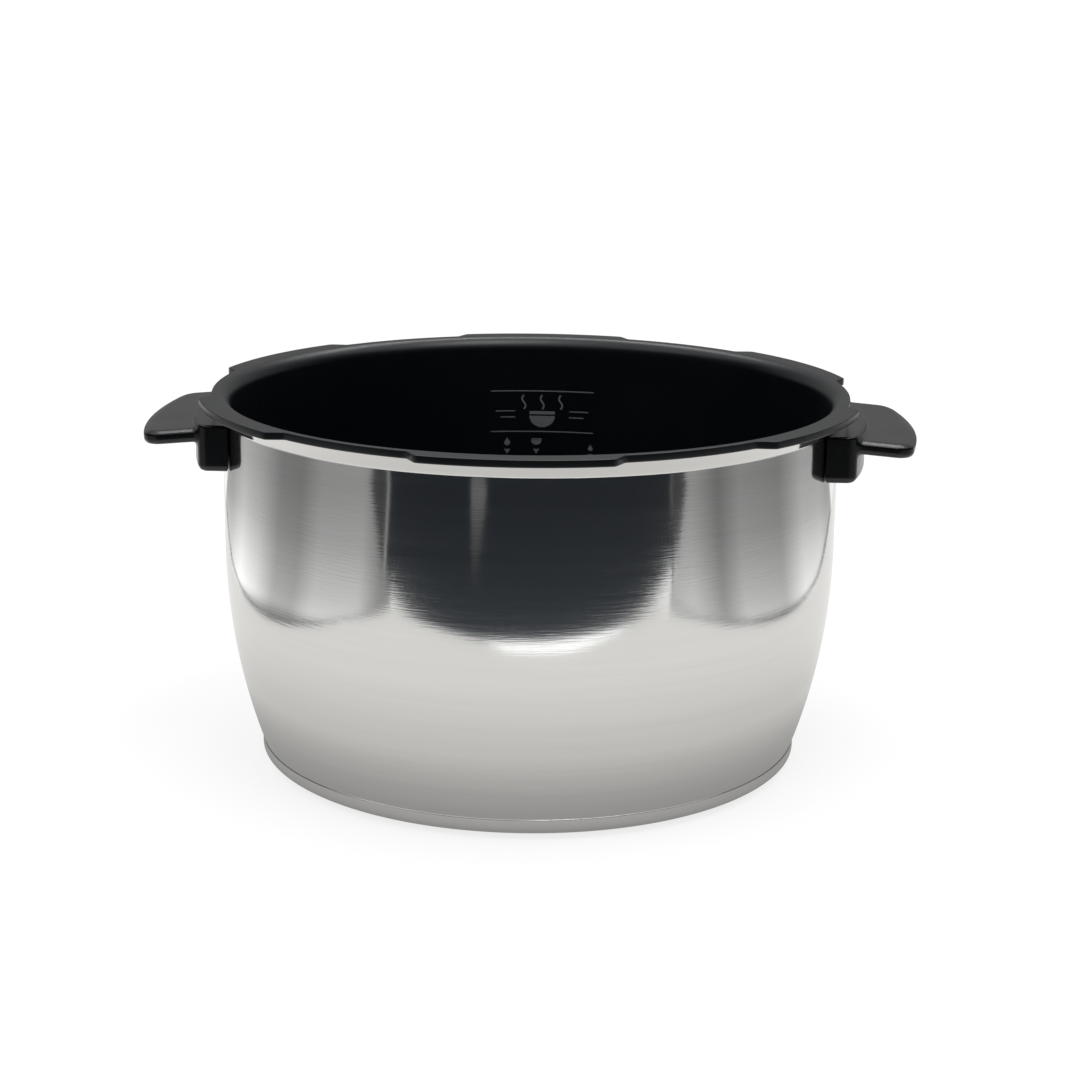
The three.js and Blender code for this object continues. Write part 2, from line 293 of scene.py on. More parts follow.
class Shader:
    """A material whose nodes are added one call at a time."""

    def __init__(self, name, colour, metallic, roughness):
        self.material = bpy.data.materials.new(name)
        self.material.use_nodes = True
        self.tree = self.material.node_tree
        self.surface = self.tree.nodes["Principled BSDF"]
        self.set("Base Color", (*colour, 1))
        self.set("Metallic", metallic)
        self.set("Roughness", roughness)

    def set(self, socket, value):
        self.surface.inputs[socket].default_value = value

    def node(self, kind, inputs=(), **settings):
        made = self.tree.nodes.new(kind)
        for key, value in settings.items():
            setattr(made, key, value)
        for socket, value in dict(inputs).items():
            if isinstance(value, bpy.types.NodeSocket):
                self.tree.links.new(value, made.inputs[socket])
            else:
                made.inputs[socket].default_value = value
        return made

    def link(self, source, socket):
        self.tree.links.new(source, self.surface.inputs[socket])

    def position(self):
        return self.node("ShaderNodeTexCoord").outputs["Object"]

    def noise(self, vector, scale, detail):
        inputs = {"Vector": vector, "Scale": scale, "Detail": detail}
        return self.node("ShaderNodeTexNoise", inputs).outputs["Fac"]

    def spread(self, factor, low, high):
        """factor, mostly between 0.3 and 0.7, mapped onto low to high."""
        inputs = {"Value": factor, 1: 0.3, 2: 0.7, 3: low, 4: high}
        return self.node("ShaderNodeMapRange", inputs).outputs["Result"]

    def tinted(self, factor, dark, light):
        """A colour between dark and light."""
        inputs = {0: factor, 6: (*dark, 1), 7: (*light, 1)}
        return self.node("ShaderNodeMix", inputs, data_type="RGBA").outputs[2]

    def bump(self, height, distance, strength):
        inputs = {"Height": height, "Distance": distance, "Strength": strength}
        self.link(self.node("ShaderNodeBump", inputs).outputs["Normal"], "Normal")


def turned_coordinate(shader, along, across):
    """Object position stretched into rings: across per metre up the profile, along round it."""
    parts = shader.node("ShaderNodeSeparateXYZ", {0: shader.position()}).outputs
    flat = shader.node("ShaderNodeCombineXYZ", {0: parts[0], 1: parts[1]}).outputs[0]
    radius = shader.node("ShaderNodeVectorMath", {0: flat}, operation="LENGTH")
    rise = shader.node(
        "ShaderNodeMath", {0: parts[2], 1: radius.outputs["Value"]}, operation="ADD"
    )
    scaled = [
        shader.node("ShaderNodeMath", {0: value, 1: factor}, operation="MULTIPLY").outputs[0]
        for value, factor in ((parts[0], along), (parts[1], along), (rise.outputs[0], across))
    ]
    return shader.node("ShaderNodeCombineXYZ", dict(enumerate(scaled))).outputs[0]


def turned_steel(name, roughness):
    """Steel turned on a lathe: rings of fine lines, blurring reflections across them."""
    shader = Shader(name, (0.74, 0.735, 0.72), 1.0, roughness)
    fine = shader.noise(turned_coordinate(shader, 18, 5200), 1, 3)
    lines = shader.noise(turned_coordinate(shader, 100, 1900), 1, 2)
    broad = shader.noise(turned_coordinate(shader, 9, 260), 1, 2)
    both = shader.node("ShaderNodeMath", {0: fine, 1: broad}, operation="ADD").outputs[0]
    mean = shader.node("ShaderNodeMath", {0: both, 1: 0.5}, operation="MULTIPLY").outputs[0]
    shader.link(shader.spread(mean, 0.75 * roughness, 1.35 * roughness), "Roughness")
    shader.link(shader.tinted(mean, (0.69, 0.688, 0.68), (0.79, 0.788, 0.78)), "Base Color")
    shader.set("Anisotropic", 0.5)
    shader.set("Anisotropic Rotation", 0.25)
    tangent = shader.node("ShaderNodeTangent", direction_type="RADIAL", axis="Z")
    shader.link(tangent.outputs[0], "Tangent")
    shader.bump(lines, TURNING_DEPTH, 1.0)
    return shader.material


def nonstick():
    """Blue-black coating with a fine grain and patches of a slightly different gloss."""
    shader = Shader("nonstick_coating", (0.0006, 0.002, 0.0042), 0.0, 0.32)
    where = shader.position()
    grain = shader.noise(where, 2600, 2)
    cloud = shader.noise(where, 38, 3)
    shader.link(shader.spread(cloud, 0.30, 0.38), "Roughness")
    shader.link(
        shader.tinted(grain, (0.0003, 0.0016, 0.0035), (0.0009, 0.0026, 0.005)), "Base Color"
    )
    shader.set("Specular IOR Level", 0.48)
    shader.bump(grain, 0.00003, 0.25)
    return shader.material


def moulded_plastic():
    """Black plastic with a fine moulded grain."""
    shader = Shader("moulded_plastic", (0.0005, 0.001, 0.002), 0.0, 0.24)
    where = shader.position()
    grain = shader.noise(where, 3400, 2)
    cloud = shader.noise(where, 55, 3)
    shader.link(shader.spread(cloud, 0.22, 0.27), "Roughness")
    shader.link(
        shader.tinted(cloud, (0.0003, 0.0008, 0.0017), (0.0007, 0.0013, 0.0024)), "Base Color"
    )
    shader.bump(grain, 0.00004, 0.3)
    return shader.material


def fixing_steel(name, colour, roughness):
    """Plain steel with a fine uneven grain."""
    shader = Shader(name, colour, 1.0, roughness)
    grain = shader.noise(shader.position(), 900, 3)
    shader.link(shader.spread(grain, 0.8 * roughness, 1.3 * roughness), "Roughness")
    shader.link(
        shader.tinted(grain, [0.88 * c for c in colour], [1.08 * c for c in colour]),
        "Base Color",
    )
    shader.bump(grain, 0.00003, 0.3)
    return shader.material


def printed_ink():
    """Grey ink with a slight speckle."""
    shader = Shader("printed_ink", (0.10, 0.105, 0.11), 0.0, 0.5)
    speckle = shader.noise(shader.position(), 1800, 2)
    shader.link(shader.tinted(speckle, (0.08, 0.085, 0.09), (0.12, 0.125, 0.13)), "Base Color")
    shader.link(shader.spread(speckle, 0.45, 0.6), "Roughness")
    return shader.material


# ---- Vessel, skin and base ----


def taper_profile(inset, low_z, steps):
    """The lower wall from low_z up to where the wall is upright, set in by inset."""
    radius = TAPER_R - inset
    start = math.asin((low_z - TAPER_TOP_Z) / radius)
    return arc(TAPER_X, TAPER_TOP_Z, radius, start, 0, steps)


def neck_profile(inset, top_z):
    """The rounded crease and the flared neck above it, up to top_z, set in by inset."""
    crease = NECK_CREASE_R + inset
    reach = crease * math.tan(NECK_FLARE / 2)
    start_z = NECK_Z + inset * math.tan(NECK_FLARE / 2) - reach
    bend = arc(WALL_R - inset + crease, start_z, crease, math.pi, math.pi - NECK_FLARE, 8)
    end_r, end_z = bend[-1]
    top = (end_r + (top_z - end_z) * math.tan(NECK_FLARE), top_z)
    wall = line((WALL_R - inset, TAPER_TOP_Z), bend[0], 10)[1:]
    return wall + bend[:-1] + line(bend[-1], top, 4) + [top]


def foot_profile(inset, top_z):
    """The flat underside, its curved edge and its rim, set in by inset."""
    reach, rise = FOOT_REACH - inset, FOOT_RISE - inset
    curve = [
        (CAP_R - FOOT_REACH + reach * math.cos(a), FOOT_RISE + rise * math.sin(a))
        for a in np.linspace(-math.pi / 2, 0, 25)
    ]
    flat = line((0, inset), (CAP_R - FOOT_REACH, inset), 12)
    top = (CAP_R - inset, top_z)
    return flat + curve[:-1] + line(curve[-1], top, 3) + [top]


def cavity_profile():
    """From the lip's flat top down the cavity's wall and across its floor to the axis."""
    radius = TAPER_R - WALL_T
    corner_z = FLOOR_T + CAVITY_CORNER_R
    corner_x = TAPER_X + math.sqrt(
        (radius - CAVITY_CORNER_R) ** 2 - (corner_z - TAPER_TOP_Z) ** 2
    )
    tangent = math.atan2(corner_z - TAPER_TOP_Z, corner_x - TAPER_X)
    round_r, round_z = CAVITY_R + LIP_INSIDE_ROUND, LIP_Z - LIP_INSIDE_ROUND
    roll = arc(round_r, round_z, LIP_INSIDE_ROUND, math.pi / 2, math.pi, 20)
    wall = line(roll[-1], (CAVITY_R, TAPER_TOP_Z), 12)[1:]
    lower = arc(TAPER_X, TAPER_TOP_Z, radius, 0, tangent, 24)
    corner = arc(corner_x, corner_z, CAVITY_CORNER_R, tangent, -math.pi / 2, 28)[1:]
    floor = line(corner[-1], (0, FLOOR_T), 16)[1:]
    return roll + wall + lower + corner + floor + [(0, FLOOR_T)]


def lug_share(azimuth):
    """1 over a lug, 0 between lugs, and a softened slope at each lug's slanted ends."""
    pitch = 2 * math.pi / LUG_COUNT
    off = np.abs((azimuth - FIRST_LUG_AZIMUTH + pitch / 2) % pitch - pitch / 2)
    soft = LUG_CORNER_BLUR * np.linspace(-1, 1, 9)
    slant = LUG_ROOT_HALF - LUG_TIP_HALF
    return sum(np.clip((LUG_ROOT_HALF - off - s) / slant, 0, 1) for s in soft) / len(soft)


def vessel(material):
    inset = SKIN_T + SEAT_GAP
    under_z = LIP_Z - LIP_T
    hidden = foot_profile(CAP_T + SEAT_GAP, CAP_H) + taper_profile(inset, CAP_H + SEAT_GAP, 24)
    neck = neck_profile(inset, under_z)
    ledge_r = neck[-1][0]
    under = line(neck[-1], (LIP_R - LIP_UNDER_EDGE_R, under_z), 4)[1:]
    low, high = LIP_UNDER_EDGE_R, LIP_TOP_EDGE_R
    rim = arc(LIP_R - low, under_z + low, low, -math.pi / 2, 0, 5)
    rim += arc(LIP_R - high, LIP_Z - high, high, 0, math.pi / 2, 6)
    flat_r = CAVITY_R + LIP_INSIDE_ROUND
    top = line(rim[-1], (flat_r, LIP_Z), 4)[1:]
    profile = hidden + neck + under + rim + top + cavity_profile()
    lip = range(len(hidden + neck), len(hidden + neck + under + rim + top))

    def reach(i, azimuth):
        if i not in lip:
            return 0 * azimuth
        inner = ledge_r if i < lip[0] + len(under) else flat_r
        share = min(1, (profile[i][0] - inner) / (LIP_R - LIP_UNDER_EDGE_R - inner))
        return share * (LUG_R - LIP_R) * lug_share(azimuth)

    vertices, faces = revolved(profile, reach)
    new_piece("vessel", vertices, faces, material, "pot_body")


def skin(material):
    low_z, top_z = CAP_H + HAIRLINE, LIP_Z - LIP_T - HAIRLINE
    outside = taper_profile(0, low_z, 48) + neck_profile(0, top_z)
    inside = taper_profile(SKIN_T, low_z, 48) + neck_profile(SKIN_T, top_z)
    vertices, faces = revolved(outside + inside[::-1])
    new_piece("outer_skin", vertices, faces, material, "steel_skin")


def base(material):
    vertices, faces = revolved(foot_profile(0, CAP_H) + foot_profile(CAP_T, CAP_H)[::-1])
    new_piece("base_plate", vertices, faces, material, "base_cap")


# ---- Handles ----


def sector(x, y, face_r, half_w, corner_r):
    """Distance to a plan outline with parallel sides and a curved outer face."""
    face = np.hypot(x - FACE_CENTRE_X, y) - face_r
    return rounded_both(face, np.abs(y) - half_w, corner_r)


def block_field(x, y, z):
    plan = sector(x, y, BLOCK_FACE_R, BLOCK_HALF_W, BLOCK_CORNER_R)
    capped = rounded_both(plan, z - BLOCK_TOP_Z, BLOCK_TOP_EDGE_R)
    return rounded_both(capped, BLOCK_UNDER_Z - z, BLOCK_UNDER_EDGE_R)


def wing_field(x, y, z):
    cosine, sine = math.cos(WING_DROOP), math.sin(WING_DROOP)
    along, height = x - WING_ROOT_X, z - WING_TOP_Z
    x, z = WING_ROOT_X + along * cosine - height * sine, along * sine + height * cosine
    plan = sector(x, y, WING_TIP_R, WING_HALF_W, WING_CORNER_R)
    slope = math.hypot(WING_CHAMFER_W, WING_CHAMFER_H)
    chamfer = ((plan + WING_CHAMFER_W) * WING_CHAMFER_H + z * WING_CHAMFER_W) / slope
    top = rounded_both(z, chamfer, WING_CREASE_R)
    edged = rounded_both(plan, top, WING_TOP_EDGE_R)
    return rounded_both(edged, -z - WING_T, WING_UNDER_EDGE_R)


def pocket_field(x, y, z):
    """The rooms for the bracket's strip, its ears and the screws."""
    radius = np.hypot(x, y)
    strip = np.maximum(radius - WALL_R - STRIP_ROOM, np.abs(y) - STRIP_HIGH.y - SEAT_GAP)
    head_top = SCREW_LOW.z + HEAD_H
    strip = np.maximum(strip, head_top + SEAT_GAP - z)
    strip = np.maximum(strip, z - STRIP_HIGH.z - SEAT_GAP)
    off = np.abs(np.abs(y) - abs(SCREW_Y))
    ear = np.maximum(off - EAR_HALF_W - SEAT_GAP, np.abs(z - EAR_Z) - EAR_ROOM_HALF_H)
    ear = np.maximum(ear, x - STRIP_HIGH.x - SEAT_GAP)
    axis = np.hypot(x - SCREW_X, off)
    bore = np.maximum(axis - HEAD_R - HEAD_CLEARANCE, z - head_top - SEAT_GAP)
    shank = np.maximum(axis - SCREW_R - HEAD_CLEARANCE, z - SCREW_HIGH.z - SEAT_GAP)
    return np.minimum(np.minimum(strip, ear), np.minimum(bore, shank))


def handle_field(x, y, z):
    wing = np.maximum(wing_field(x, y, z), WALL_R - x)
    body = filleted(block_field(x, y, z), wing, WING_FILLET_R)
    flare = np.maximum(z - NECK_Z, 0) * math.tan(NECK_FLARE)
    wall = WALL_R + HANDLE_GAP + flare - np.hypot(x, y)
    body = rounded_both(body, wall, HANDLE_WALL_EDGE_R)
    return np.maximum(body, -pocket_field(x, y, z))


def handle(side, turn, material):
    """One handle, made for +X and turned half round where turn is -1."""
    vertices, faces = surface_of(handle_field, HANDLE_LOW, HANDLE_HIGH, HANDLE_STEP)
    vertices = vertices * (turn, turn, 1)
    name, replaced = "grip_" + side, "handle_" + side
    new_piece(name, vertices, faces, material, replaced, HANDLE_CREASE)


def screw_field(x, y, z):
    """A pan-head machine screw, head down on the origin."""
    radius = np.hypot(x, y)
    head = rounded_both(radius - HEAD_R, -z, HEAD_EDGE_R)
    head = rounded_both(head, z - HEAD_H, HEAD_SEAT_EDGE_R)
    turn = (z / THREAD_PITCH - np.arctan2(y, x) / (2 * math.pi)) % 1
    thread = SCREW_R - THREAD_DEPTH * np.abs(2 * turn - 1)
    shank = np.maximum((radius - thread) * THREAD_FLANK, z - SCREW_LENGTH)
    shank = np.maximum(shank, HEAD_H / 2 - z)
    half_w = RECESS_HALF_W - RECESS_SIDE_TAPER * np.maximum(z, 0)
    arm = RECESS_ARM - RECESS_END_TAPER * z
    arm_x = np.maximum(np.abs(x) - arm, np.abs(y) - half_w)
    arm_y = np.maximum(np.abs(y) - arm, np.abs(x) - half_w)
    recess = np.maximum(np.minimum(arm_x, arm_y), z - RECESS_DEPTH)
    return np.maximum(np.minimum(head, shank), -recess)


def screws(material):
    low, high = (-HEAD_R, -HEAD_R, 0), (HEAD_R, HEAD_R, SCREW_LENGTH)
    vertices, faces = surface_of(screw_field, low, high, SCREW_STEP)
    for side, x in (("left", -SCREW_X), ("right", SCREW_X)):
        for end, y in (("front", -abs(SCREW_Y)), ("rear", abs(SCREW_Y))):
            place = "_" + side + "_" + end
            replaced = "screw" + place
            moved = vertices + (x, y, SCREW_LOW.z)
            new_piece("bolt" + place, moved, faces, material, replaced, SCREW_CREASE)


# ---- Level marks ----

INK_T = 0.00007
INK_SINK = 0.00002
RULE_W = 0.00045
STEAM_W = 0.0007
SCALE_W = 0.0005
MINOR_W = 0.0004
DIGIT_H = 0.0026
CUPS = (2, 4, 6, 8, 10)
FIRST_CUP_Z = 0.022
CUP_RISE = 0.006
SEGMENTS = {  # strokes of each digit on a grid one wide and two high
    "0": [[(0, 0), (1, 0), (1, 2), (0, 2), (0, 0)]],
    "1": [[(0.2, 1.6), (0.6, 2), (0.6, 0)]],
    "2": [[(0, 2), (1, 2), (1, 1), (0, 1), (0, 0), (1, 0)]],
    "4": [[(0, 2), (0, 1), (1, 1)], [(1, 2), (1, 0)]],
    "6": [[(1, 2), (0, 2), (0, 0), (1, 0), (1, 1), (0, 1)]],
    "8": [[(0, 1), (0, 2), (1, 2), (1, 0), (0, 0), (0, 1), (1, 1)]],
}


def cavity_radius(z):
    """Radius of the cavity's wall at height z, above its rounded corner."""
    if z >= TAPER_TOP_Z:
        return CAVITY_R
    return TAPER_X + math.sqrt((TAPER_R - WALL_T) ** 2 - (TAPER_TOP_Z - z) ** 2)


def on_back_wall(u, z, lift):
    """A point of the cavity's rear wall, u round it to the right and lift off it."""
    radius = cavity_radius(z) - lift
    angle = u / CAVITY_R
    return (radius * math.sin(angle), radius * math.cos(angle), z)


class Print:
    """Ink strokes on the cavity's rear wall, gathered into one mesh."""

    def __init__(self):
        self.vertices, self.faces = [], []

    def stroke(self, points, widths):
        """A ribbon along (u, z) points, with one width or a width for each point."""
        points = [Vector(p) for p in points]
        widths = widths if isinstance(widths, list) else [widths] * len(points)
        first = len(self.vertices)
        for i, (p, width) in enumerate(zip(points, widths)):
            before = (p - points[i - 1]).normalized() if i else None
            after = (points[i + 1] - p).normalized() if i + 1 < len(points) else None
            along = ((before or after) + (after or before)).normalized()
            normal = Vector((-along.y, along.x))
            stretch = 1 / max(0.5, abs(along.dot(after or before)))
            side = normal * (width / 2 * stretch)
            for way, lift in ((1, INK_T), (-1, INK_T), (-1, -INK_SINK), (1, -INK_SINK)):
                self.vertices.append(on_back_wall(*(p + way * side), lift))
        for i in range(len(points) - 1):
            a, b = first + 4 * i, first + 4 * i + 4
            self.faces += [(a + j, b + j, b + (j + 1) % 4, a + (j + 1) % 4) for j in range(4)]
        last = first + 4 * (len(points) - 1)
        self.faces += [tuple(range(first, first + 4)), tuple(range(last + 3, last - 1, -1))]

    def number(self, text, u, z, height, width):
        size = height / 2
        for i, digit in enumerate(text):
            left = u + i * 1.6 * size
            for shape in SEGMENTS[digit]:
                self.stroke([(left + a * size, z + b * size) for a, b in shape], width)

    def triangle(self, u, z, size):
        self.stroke([(u, z + size), (u, z + 0.02 * size)], [1.3 * size, 0.05 * size])

    def droplet(self, u, z, size):
        steps = np.linspace(0.02, 0.98, 12)
        widths = [size * 0.9 * math.sin(math.pi * s**1.6) + 0.00005 for s in steps]
        self.stroke([(u, z + size * 1.3 * (1 - s)) for s in steps], widths)

    def bowl(self, u, z, size):
        steps = np.linspace(0, 1, 10)
        widths = [2 * size * math.sqrt(max(0.06, 1 - s**2)) for s in steps]
        self.stroke([(u, z + size * (1 - 0.9 * s)) for s in steps], widths)
        self.stroke([(u - size, z + 1.25 * size), (u + size, z + 1.25 * size)], 0.25 * size)

    def steam(self, u, z, height, width):
        steps = np.linspace(0, 1, 14)
        sway = [0.12 * height * math.sin(2 * math.pi * s) for s in steps]
        self.stroke([(u + a, z + height * s) for a, s in zip(sway, steps)], width)


def level_marks(material):
    """The picture, the icons and the scale, from the top down, in metres but for row's stops."""
    ink = Print()

    def row(z, stops, width):
        """A level stroke through stops in millimetres."""
        ink.stroke([(u / 1000, z) for u in stops], width)

    for z in (0.0955, 0.1123):
        row(z, range(-21, 22, 2), RULE_W)
    for u in (-0.0075, 0, 0.0075):
        ink.steam(u, 0.1048, 0.0058, STEAM_W)
    ink.bowl(0, 0.0968, 0.0052)
    for side in (-1, 1):
        row(0.104, [side * u for u in range(11, 20, 2)], RULE_W)
        row(0.1015, [side * u for u in range(11, 18, 2)], RULE_W)
    ink.droplet(-0.0142, 0.0895, 0.0028)
    ink.bowl(-0.0023, 0.0897, 0.0021)
    ink.droplet(0.0200, 0.0880, 0.0022)
    ink.triangle(-0.0142, 0.0862, 0.0020)
    ink.triangle(-0.0023, 0.0862, 0.0020)
    ink.triangle(0.0200, 0.0850, 0.0018)
    for cups in CUPS:
        z = FIRST_CUP_Z + CUP_RISE * cups
        row(z, (-19, -17, -15, -13, -11), SCALE_W)
        row(z - 0.003, (-17, -15, -13), MINOR_W)
        ink.number(str(cups), -0.0042, z - DIGIT_H / 2, DIGIT_H, RULE_W)
        row(z - 0.002, (17, 19, 21), SCALE_W)
    new_piece("level_marks", ink.vertices, ink.faces, material, None)


# ---- Surroundings ----

SQUARE = ((-1, -1), (1, -1), (1, 1), (-1, 1))
FLOOR_HALF_SIZE = 14
PLAIN = ((0, 1), (1, 1))  # no change all along a ramp
WHITE = (1, 1, 1)
COOL = (0.76, 0.89, 1.06)
WARM = (1.015, 1.005, 0.98)

# Streaks and levels: degrees round from the front, and a factor.
LEFT_STREAKS = ((-130, 1.16), (-117, 1.7), (-103, 1.32), (-91, 0.75), (-80, 0.68))
LEFT_STREAKS += ((-71, 1.04), (-62, 1.06), (-53, 1.09), (-44, 0.46))
RIGHT_STREAKS = ((56, 1.14), (67, 0.57), (76, 0.93), (96, 0.77))
RIGHT_STREAKS += ((110, 1.39), (125, 1.35), (133, 1.1))
FLAG_LEVELS = ((-180, 0.29), (-125, 0.29), (-100, 0.01), (100, 0.01), (125, 0.29), (180, 0.29))
STRIP_LEVELS = ((0, 7.0), (1, 7.0))
GLOW_GAIN = 2.0  # the streaks' ramp holds factors divided by this

# Stops: metres from the pot's axis, and a level.
SIDE_STOPS = ((0.25, 0.45), (0.27, 0.45), (0.30, 0.85), (0.37, 0.66), (0.46, 0.42), (0.60, 0.30))
# The table's levels fall towards the pot: painted shade of the floor round the pot's base, as the
# steel reflects it.
TABLE_SHADE_STOPS = ((0.092, 0.29), (0.112, 0.44), (0.134, 0.65), (0.168, 0.76), (0.204, 0.84))
TABLE_SHADE_STOPS += ((0.26, 0.87),)
LOOKS = {  # name: stops, streaks, tint
    "dark": (((0.28, 0.062), (0.42, 0.035), (0.65, 0.022)), PLAIN, COOL),
    "left": (SIDE_STOPS, LEFT_STREAKS, WHITE),
    "right": (SIDE_STOPS, RIGHT_STREAKS, WHITE),
    "bright": (((0.3, 0.5), (0.6, 0.35)), PLAIN, WHITE),
    "dim": (((0.36, 0.11), (0.5, 0.065), (0.6, 0.05)), PLAIN, WHITE),
    "faint": (((0.42, 0.045), (0.53, 0.085), (0.6, 0.16), (0.8, 0.2)), PLAIN, WHITE),
    "outline": (((0.25, 0.16), (0.5, 0.12)), PLAIN, WHITE),
    "fringe": (((0.25, 1.3), (0.29, 1.6), (0.36, 1.1)), PLAIN, WHITE),
    # the table card's look: its levels hold painted shade that darkens it towards the pot
    "near": (TABLE_SHADE_STOPS, PLAIN, WARM),
}

TABLE_HOLE_R = 0.0905
TABLE_OUTLINE = ((-0.25, 0.27), (-0.295, 0.75))  # low and high X, low and high Y
TABLE_STEPS = 96
TABLE_HEIGHT = 0.0004
FAR = 1.5
LEFT_SIDE = ((-0.25, 0.34), (-FAR, 0.9), (-FAR, -0.84), (-0.25, -0.289))
RIGHT_SIDE = ((0.27, -0.261), (0.355, -0.293), (FAR, -0.733), (FAR, 0.9), (0.27, 0.34))
REAR = ((0.4, 0.75), (0.9, FAR), (-0.9, FAR), (-0.4, 0.75))
LEFT_EDGE = ((-0.264, -0.293), (-0.257, -0.287), (-0.257, 0.33), (-0.264, 0.33))
RIGHT_EDGE = ((0.276, -0.258), (0.286, -0.265), (0.286, 0.33), (0.276, 0.33))
FRONT = ((-0.27, -0.298), (-FAR, -0.84), (-FAR, -1.4), (FAR, -1.4), (FAR, -0.733), (0.36, -0.295))
FRINGE = ((-0.06, -0.295), (0.0, -0.2985), (0.12, -0.2985), (0.21, -0.295))
FRINGE += ((0.16, -0.278), (0.07, -0.264), (-0.02, -0.272))
STREAK = ((-0.111, -0.446), (-0.124, -0.443), (-0.17, -0.575), (-0.234, -0.765))
STREAK += ((-0.146, -0.787), (-0.121, -0.588))
LEFT_SEAM = ((-0.29, -0.307), (-FAR, -0.84), (-1.3, -1.318), (-0.30, -0.304))
RIGHT_SEAM = ((0.347, -0.296), (1.0, -0.850), (FAR, -0.733), (0.36, -0.295))
LEFT_LINE = ((-0.292, -0.301), (-0.891, -0.919), (-0.905, -0.905), (-0.296, -0.298))
RIGHT_LINE = ((0.395, -0.345), (0.9, -0.775), (0.909, -0.765), (0.399, -0.341))
RIGHT_GROOVE = ((0.31, -0.277), (0.395, -0.345), (0.399, -0.341), (0.314, -0.273))
CARDS = (  # name, corners, height, look
    ("left", LEFT_SIDE, 0.0008, "left"),
    ("right", RIGHT_SIDE, 0.0008, "right"),
    ("rear", REAR, 0.0008, "dark"),
    ("outline_left", LEFT_EDGE, 0.0012, "outline"),
    ("outline_right", RIGHT_EDGE, 0.0012, "outline"),
    ("front", FRONT, 0.0016, "dark"),
    ("fringe", FRINGE, 0.0018, "fringe"),
    ("streak", STREAK, 0.0020, "faint"),
    ("seam_left", LEFT_SEAM, 0.0020, "dim"),
    ("seam_right", RIGHT_SEAM, 0.0020, "dim"),
    ("line_left", LEFT_LINE, 0.0024, "bright"),
    ("line_right", RIGHT_LINE, 0.0024, "faint"),
    ("groove_right", RIGHT_GROOVE, 0.0024, "dark"),
)

FLAG_R = 1.45
FLAG_H = 1.3
FLAG_STEPS = 72
SKY_STRIP = ((-0.7, 1.2, 1.5), (0.9, 1.2, 1.5), (0.9, 1.0, 1.75), (-0.7, 1.0, 1.75))
LAMPS = (  # name, place, size, power
    ("overhead", (0.25, -0.35, 1.5), 0.7, 6),
    ("left_fill", (-1.5, -0.6, 1.0), 1.0, 3),
)
LAMP_TARGET = (0, 0, 0.1)

CAMERA_LENS = 75.74
CAMERA_PLACE = (0.0343, -0.8017, LIP_Z + 0.1537)
CAMERA_TURN = ((2.182, "Z"), (90 - 14.67, "X"), (0.608, "Z"))  # heading, tilt, roll


def stage_mesh(name, vertices, faces, material):
    """A mesh of the surroundings, put on no body."""
    mesh = bpy.data.meshes.new(name)
    mesh.from_pydata(vertices, [], faces)
    mesh.materials.append(material)
    item = bpy.data.objects.new(name, mesh)
    bpy.context.scene.collection.objects.link(item)
    return item


def unseen(item):
    """Leaves item in reflections only."""
    item.visible_camera = False
    item.visible_diffuse = False
    item.visible_shadow = False
    item.visible_transmission = False
    item.visible_volume_scatter = False


def floor():
    shader = Shader("pale_floor", (0.24, 0.24, 0.24), 0.0, 0.9)
    shader.set("Specular IOR Level", 0.1)
    shader.set("Emission Color", (1, 1, 1, 1))
    shader.set("Emission Strength", 0.76)
    corners = [(x * FLOOR_HALF_SIZE, y * FLOOR_HALF_SIZE, 0) for x, y in SQUARE]
    stage_mesh("floor", corners, [(0, 1, 2, 3)], shader.material)


def ramp(shader, factor, stops, tint=WHITE):
    """Levels of one tint at places along factor."""
    made = shader.node("ShaderNodeValToRGB", {0: factor})
    elements = made.color_ramp.elements
    while len(elements) < len(stops):
        elements.new(0.5)
    for element, (place, value) in zip(elements, stops):
        element.position = place
        element.color = (*(value * share for share in tint), 1)
    return made.outputs["Color"]


def glow(name, stops, streaks=PLAIN, tint=WHITE):
    """An emitting material whose brightness follows the distance from the pot's axis, with
    streaks as factors at degrees round from the front."""
    shader = Shader(name, (0, 0, 0), 0.0, 1.0)
    shader.set("Specular IOR Level", 0)
    where = shader.position()
    away = shader.node("ShaderNodeVectorMath", {0: where}, operation="LENGTH")
    parts = shader.node("ShaderNodeSeparateXYZ", {0: where}).outputs
    ahead = shader.node("ShaderNodeMath", {0: parts[1], 1: -1.0}, operation="MULTIPLY")
    turn = shader.node(
        "ShaderNodeMath", {0: parts[0], 1: ahead.outputs[0]}, operation="ARCTAN2"
    )
    limits = {"Value": turn.outputs[0], 1: -math.pi, 2: math.pi, 3: 0.0, 4: 1.0}
    round_share = shader.node("ShaderNodeMapRange", limits).outputs["Result"]
    level = ramp(shader, away.outputs["Value"], stops, tint)
    shares = [(0.5 + degrees / 360, value / GLOW_GAIN) for degrees, value in streaks]
    factor = ramp(shader, round_share, shares)
    both = shader.node("ShaderNodeVectorMath", {0: level, 1: factor}, operation="MULTIPLY")
    shader.link(both.outputs[0], "Emission Color")
    shader.set("Emission Strength", GLOW_GAIN)
    return shader.material


def table_card(material):
    """The pale table top near the pot, open in a circle under it; its material darkens towards
    the pot in painted shade.
    """
    vertices, faces = [], []
    for i in range(TABLE_STEPS):
        angle = 2 * math.pi * i / TABLE_STEPS
        direction = Vector((math.cos(angle), math.sin(angle)))
        limits = []
        for (low, high), way in zip(TABLE_OUTLINE, direction):
            limits.append(high / way if way > 1e-6 else low / way if way < -1e-6 else 1e6)
        for radius in (TABLE_HOLE_R, min(limits)):
            vertices.append((*(direction * radius), TABLE_HEIGHT))
        j = (i + 1) % TABLE_STEPS
        faces.append((2 * i, 2 * i + 1, 2 * j + 1, 2 * j))
    unseen(stage_mesh("card_table", vertices, faces, material))


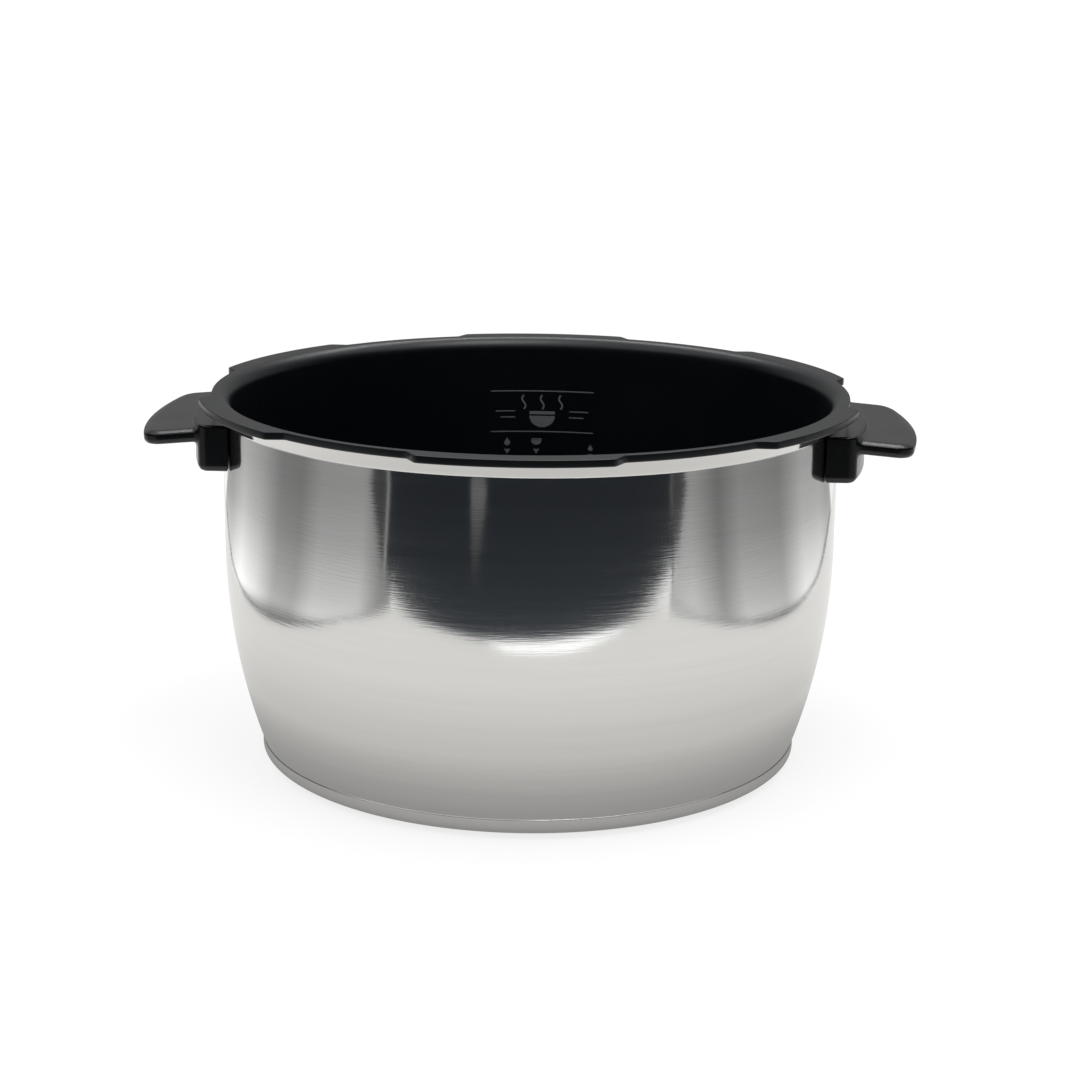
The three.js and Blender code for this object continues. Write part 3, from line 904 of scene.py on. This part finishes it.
def cards():
    """Flat cards that only reflections see, lying just over the floor."""
    looks = {name: glow("card_" + name, *look) for name, look in LOOKS.items()}
    table_card(looks["near"])
    for name, corners, height, look in CARDS:
        vertices = [(x, y, height) for x, y in corners]
        faces = [tuple(range(len(vertices)))]
        unseen(stage_mesh("card_" + name, vertices, faces, looks[look]))


def flag():
    """A screen right round that only reflections see, dark in front and grey behind."""
    material = glow("flag_grey", PLAIN, FLAG_LEVELS)
    vertices, faces = [], []
    for i in range(FLAG_STEPS + 1):
        angle = 2 * math.pi * i / FLAG_STEPS
        x, y = FLAG_R * math.cos(angle), FLAG_R * math.sin(angle)
        vertices += [(x, y, 0), (x, y, FLAG_H)]
        if i:
            faces.append((2 * i - 2, 2 * i, 2 * i + 1, 2 * i - 1))
    unseen(stage_mesh("flag", vertices, faces, material))


def sky_strip():
    """A bright bar high behind the pot that only reflections see; it lights the bevels."""
    material = glow("strip_white", PLAIN, STRIP_LEVELS)
    unseen(stage_mesh("sky_strip", SKY_STRIP, [(0, 1, 2, 3)], material))


def lights():
    world = bpy.data.worlds.new("studio")
    world.use_nodes = True
    background = world.node_tree.nodes["Background"]
    background.inputs["Color"].default_value = (1, 1, 1, 1)
    background.inputs["Strength"].default_value = 1.0
    bpy.context.scene.world = world
    for name, place, size, power in LAMPS:
        data = bpy.data.lights.new(name, "AREA")
        data.size = size
        data.energy = power
        lamp = bpy.data.objects.new(name, data)
        bpy.context.scene.collection.objects.link(lamp)
        lamp.location = place
        aim = Vector(LAMP_TARGET) - lamp.location
        lamp.rotation_euler = aim.to_track_quat("-Z", "Y").to_euler()


def camera():
    data = bpy.data.cameras.new("camera")
    data.lens = CAMERA_LENS
    data.sensor_width = 36
    data.clip_end = 100
    eye = bpy.data.objects.new("camera", data)
    bpy.context.scene.collection.objects.link(eye)
    placed = Matrix.Translation(CAMERA_PLACE)
    for degrees, axis in CAMERA_TURN:
        placed = placed @ Matrix.Rotation(math.radians(degrees), 4, axis)
    eye.matrix_world = placed
    bpy.context.scene.camera = eye


# ---- Assembly ----

coating = nonstick()
plastic = moulded_plastic()
vessel(coating)
skin(turned_steel("turned_steel_skin", 0.085))
base(turned_steel("turned_steel_base", 0.18))
handle("right", 1, plastic)
handle("left", -1, plastic)
screws(fixing_steel("screw_steel", (0.55, 0.55, 0.56), 0.3))
level_marks(printed_ink())
bracket_steel = fixing_steel("bracket_steel", (0.60, 0.60, 0.61), 0.38)
for node in ("bracket_left", "bracket_right"):
    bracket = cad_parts[node]
    bracket.data.materials.clear()
    bracket.data.materials.append(bracket_steel)
floor()
cards()
flag()
sky_strip()
lights()
camera()
bpy.context.scene.view_settings.view_transform = "Standard"
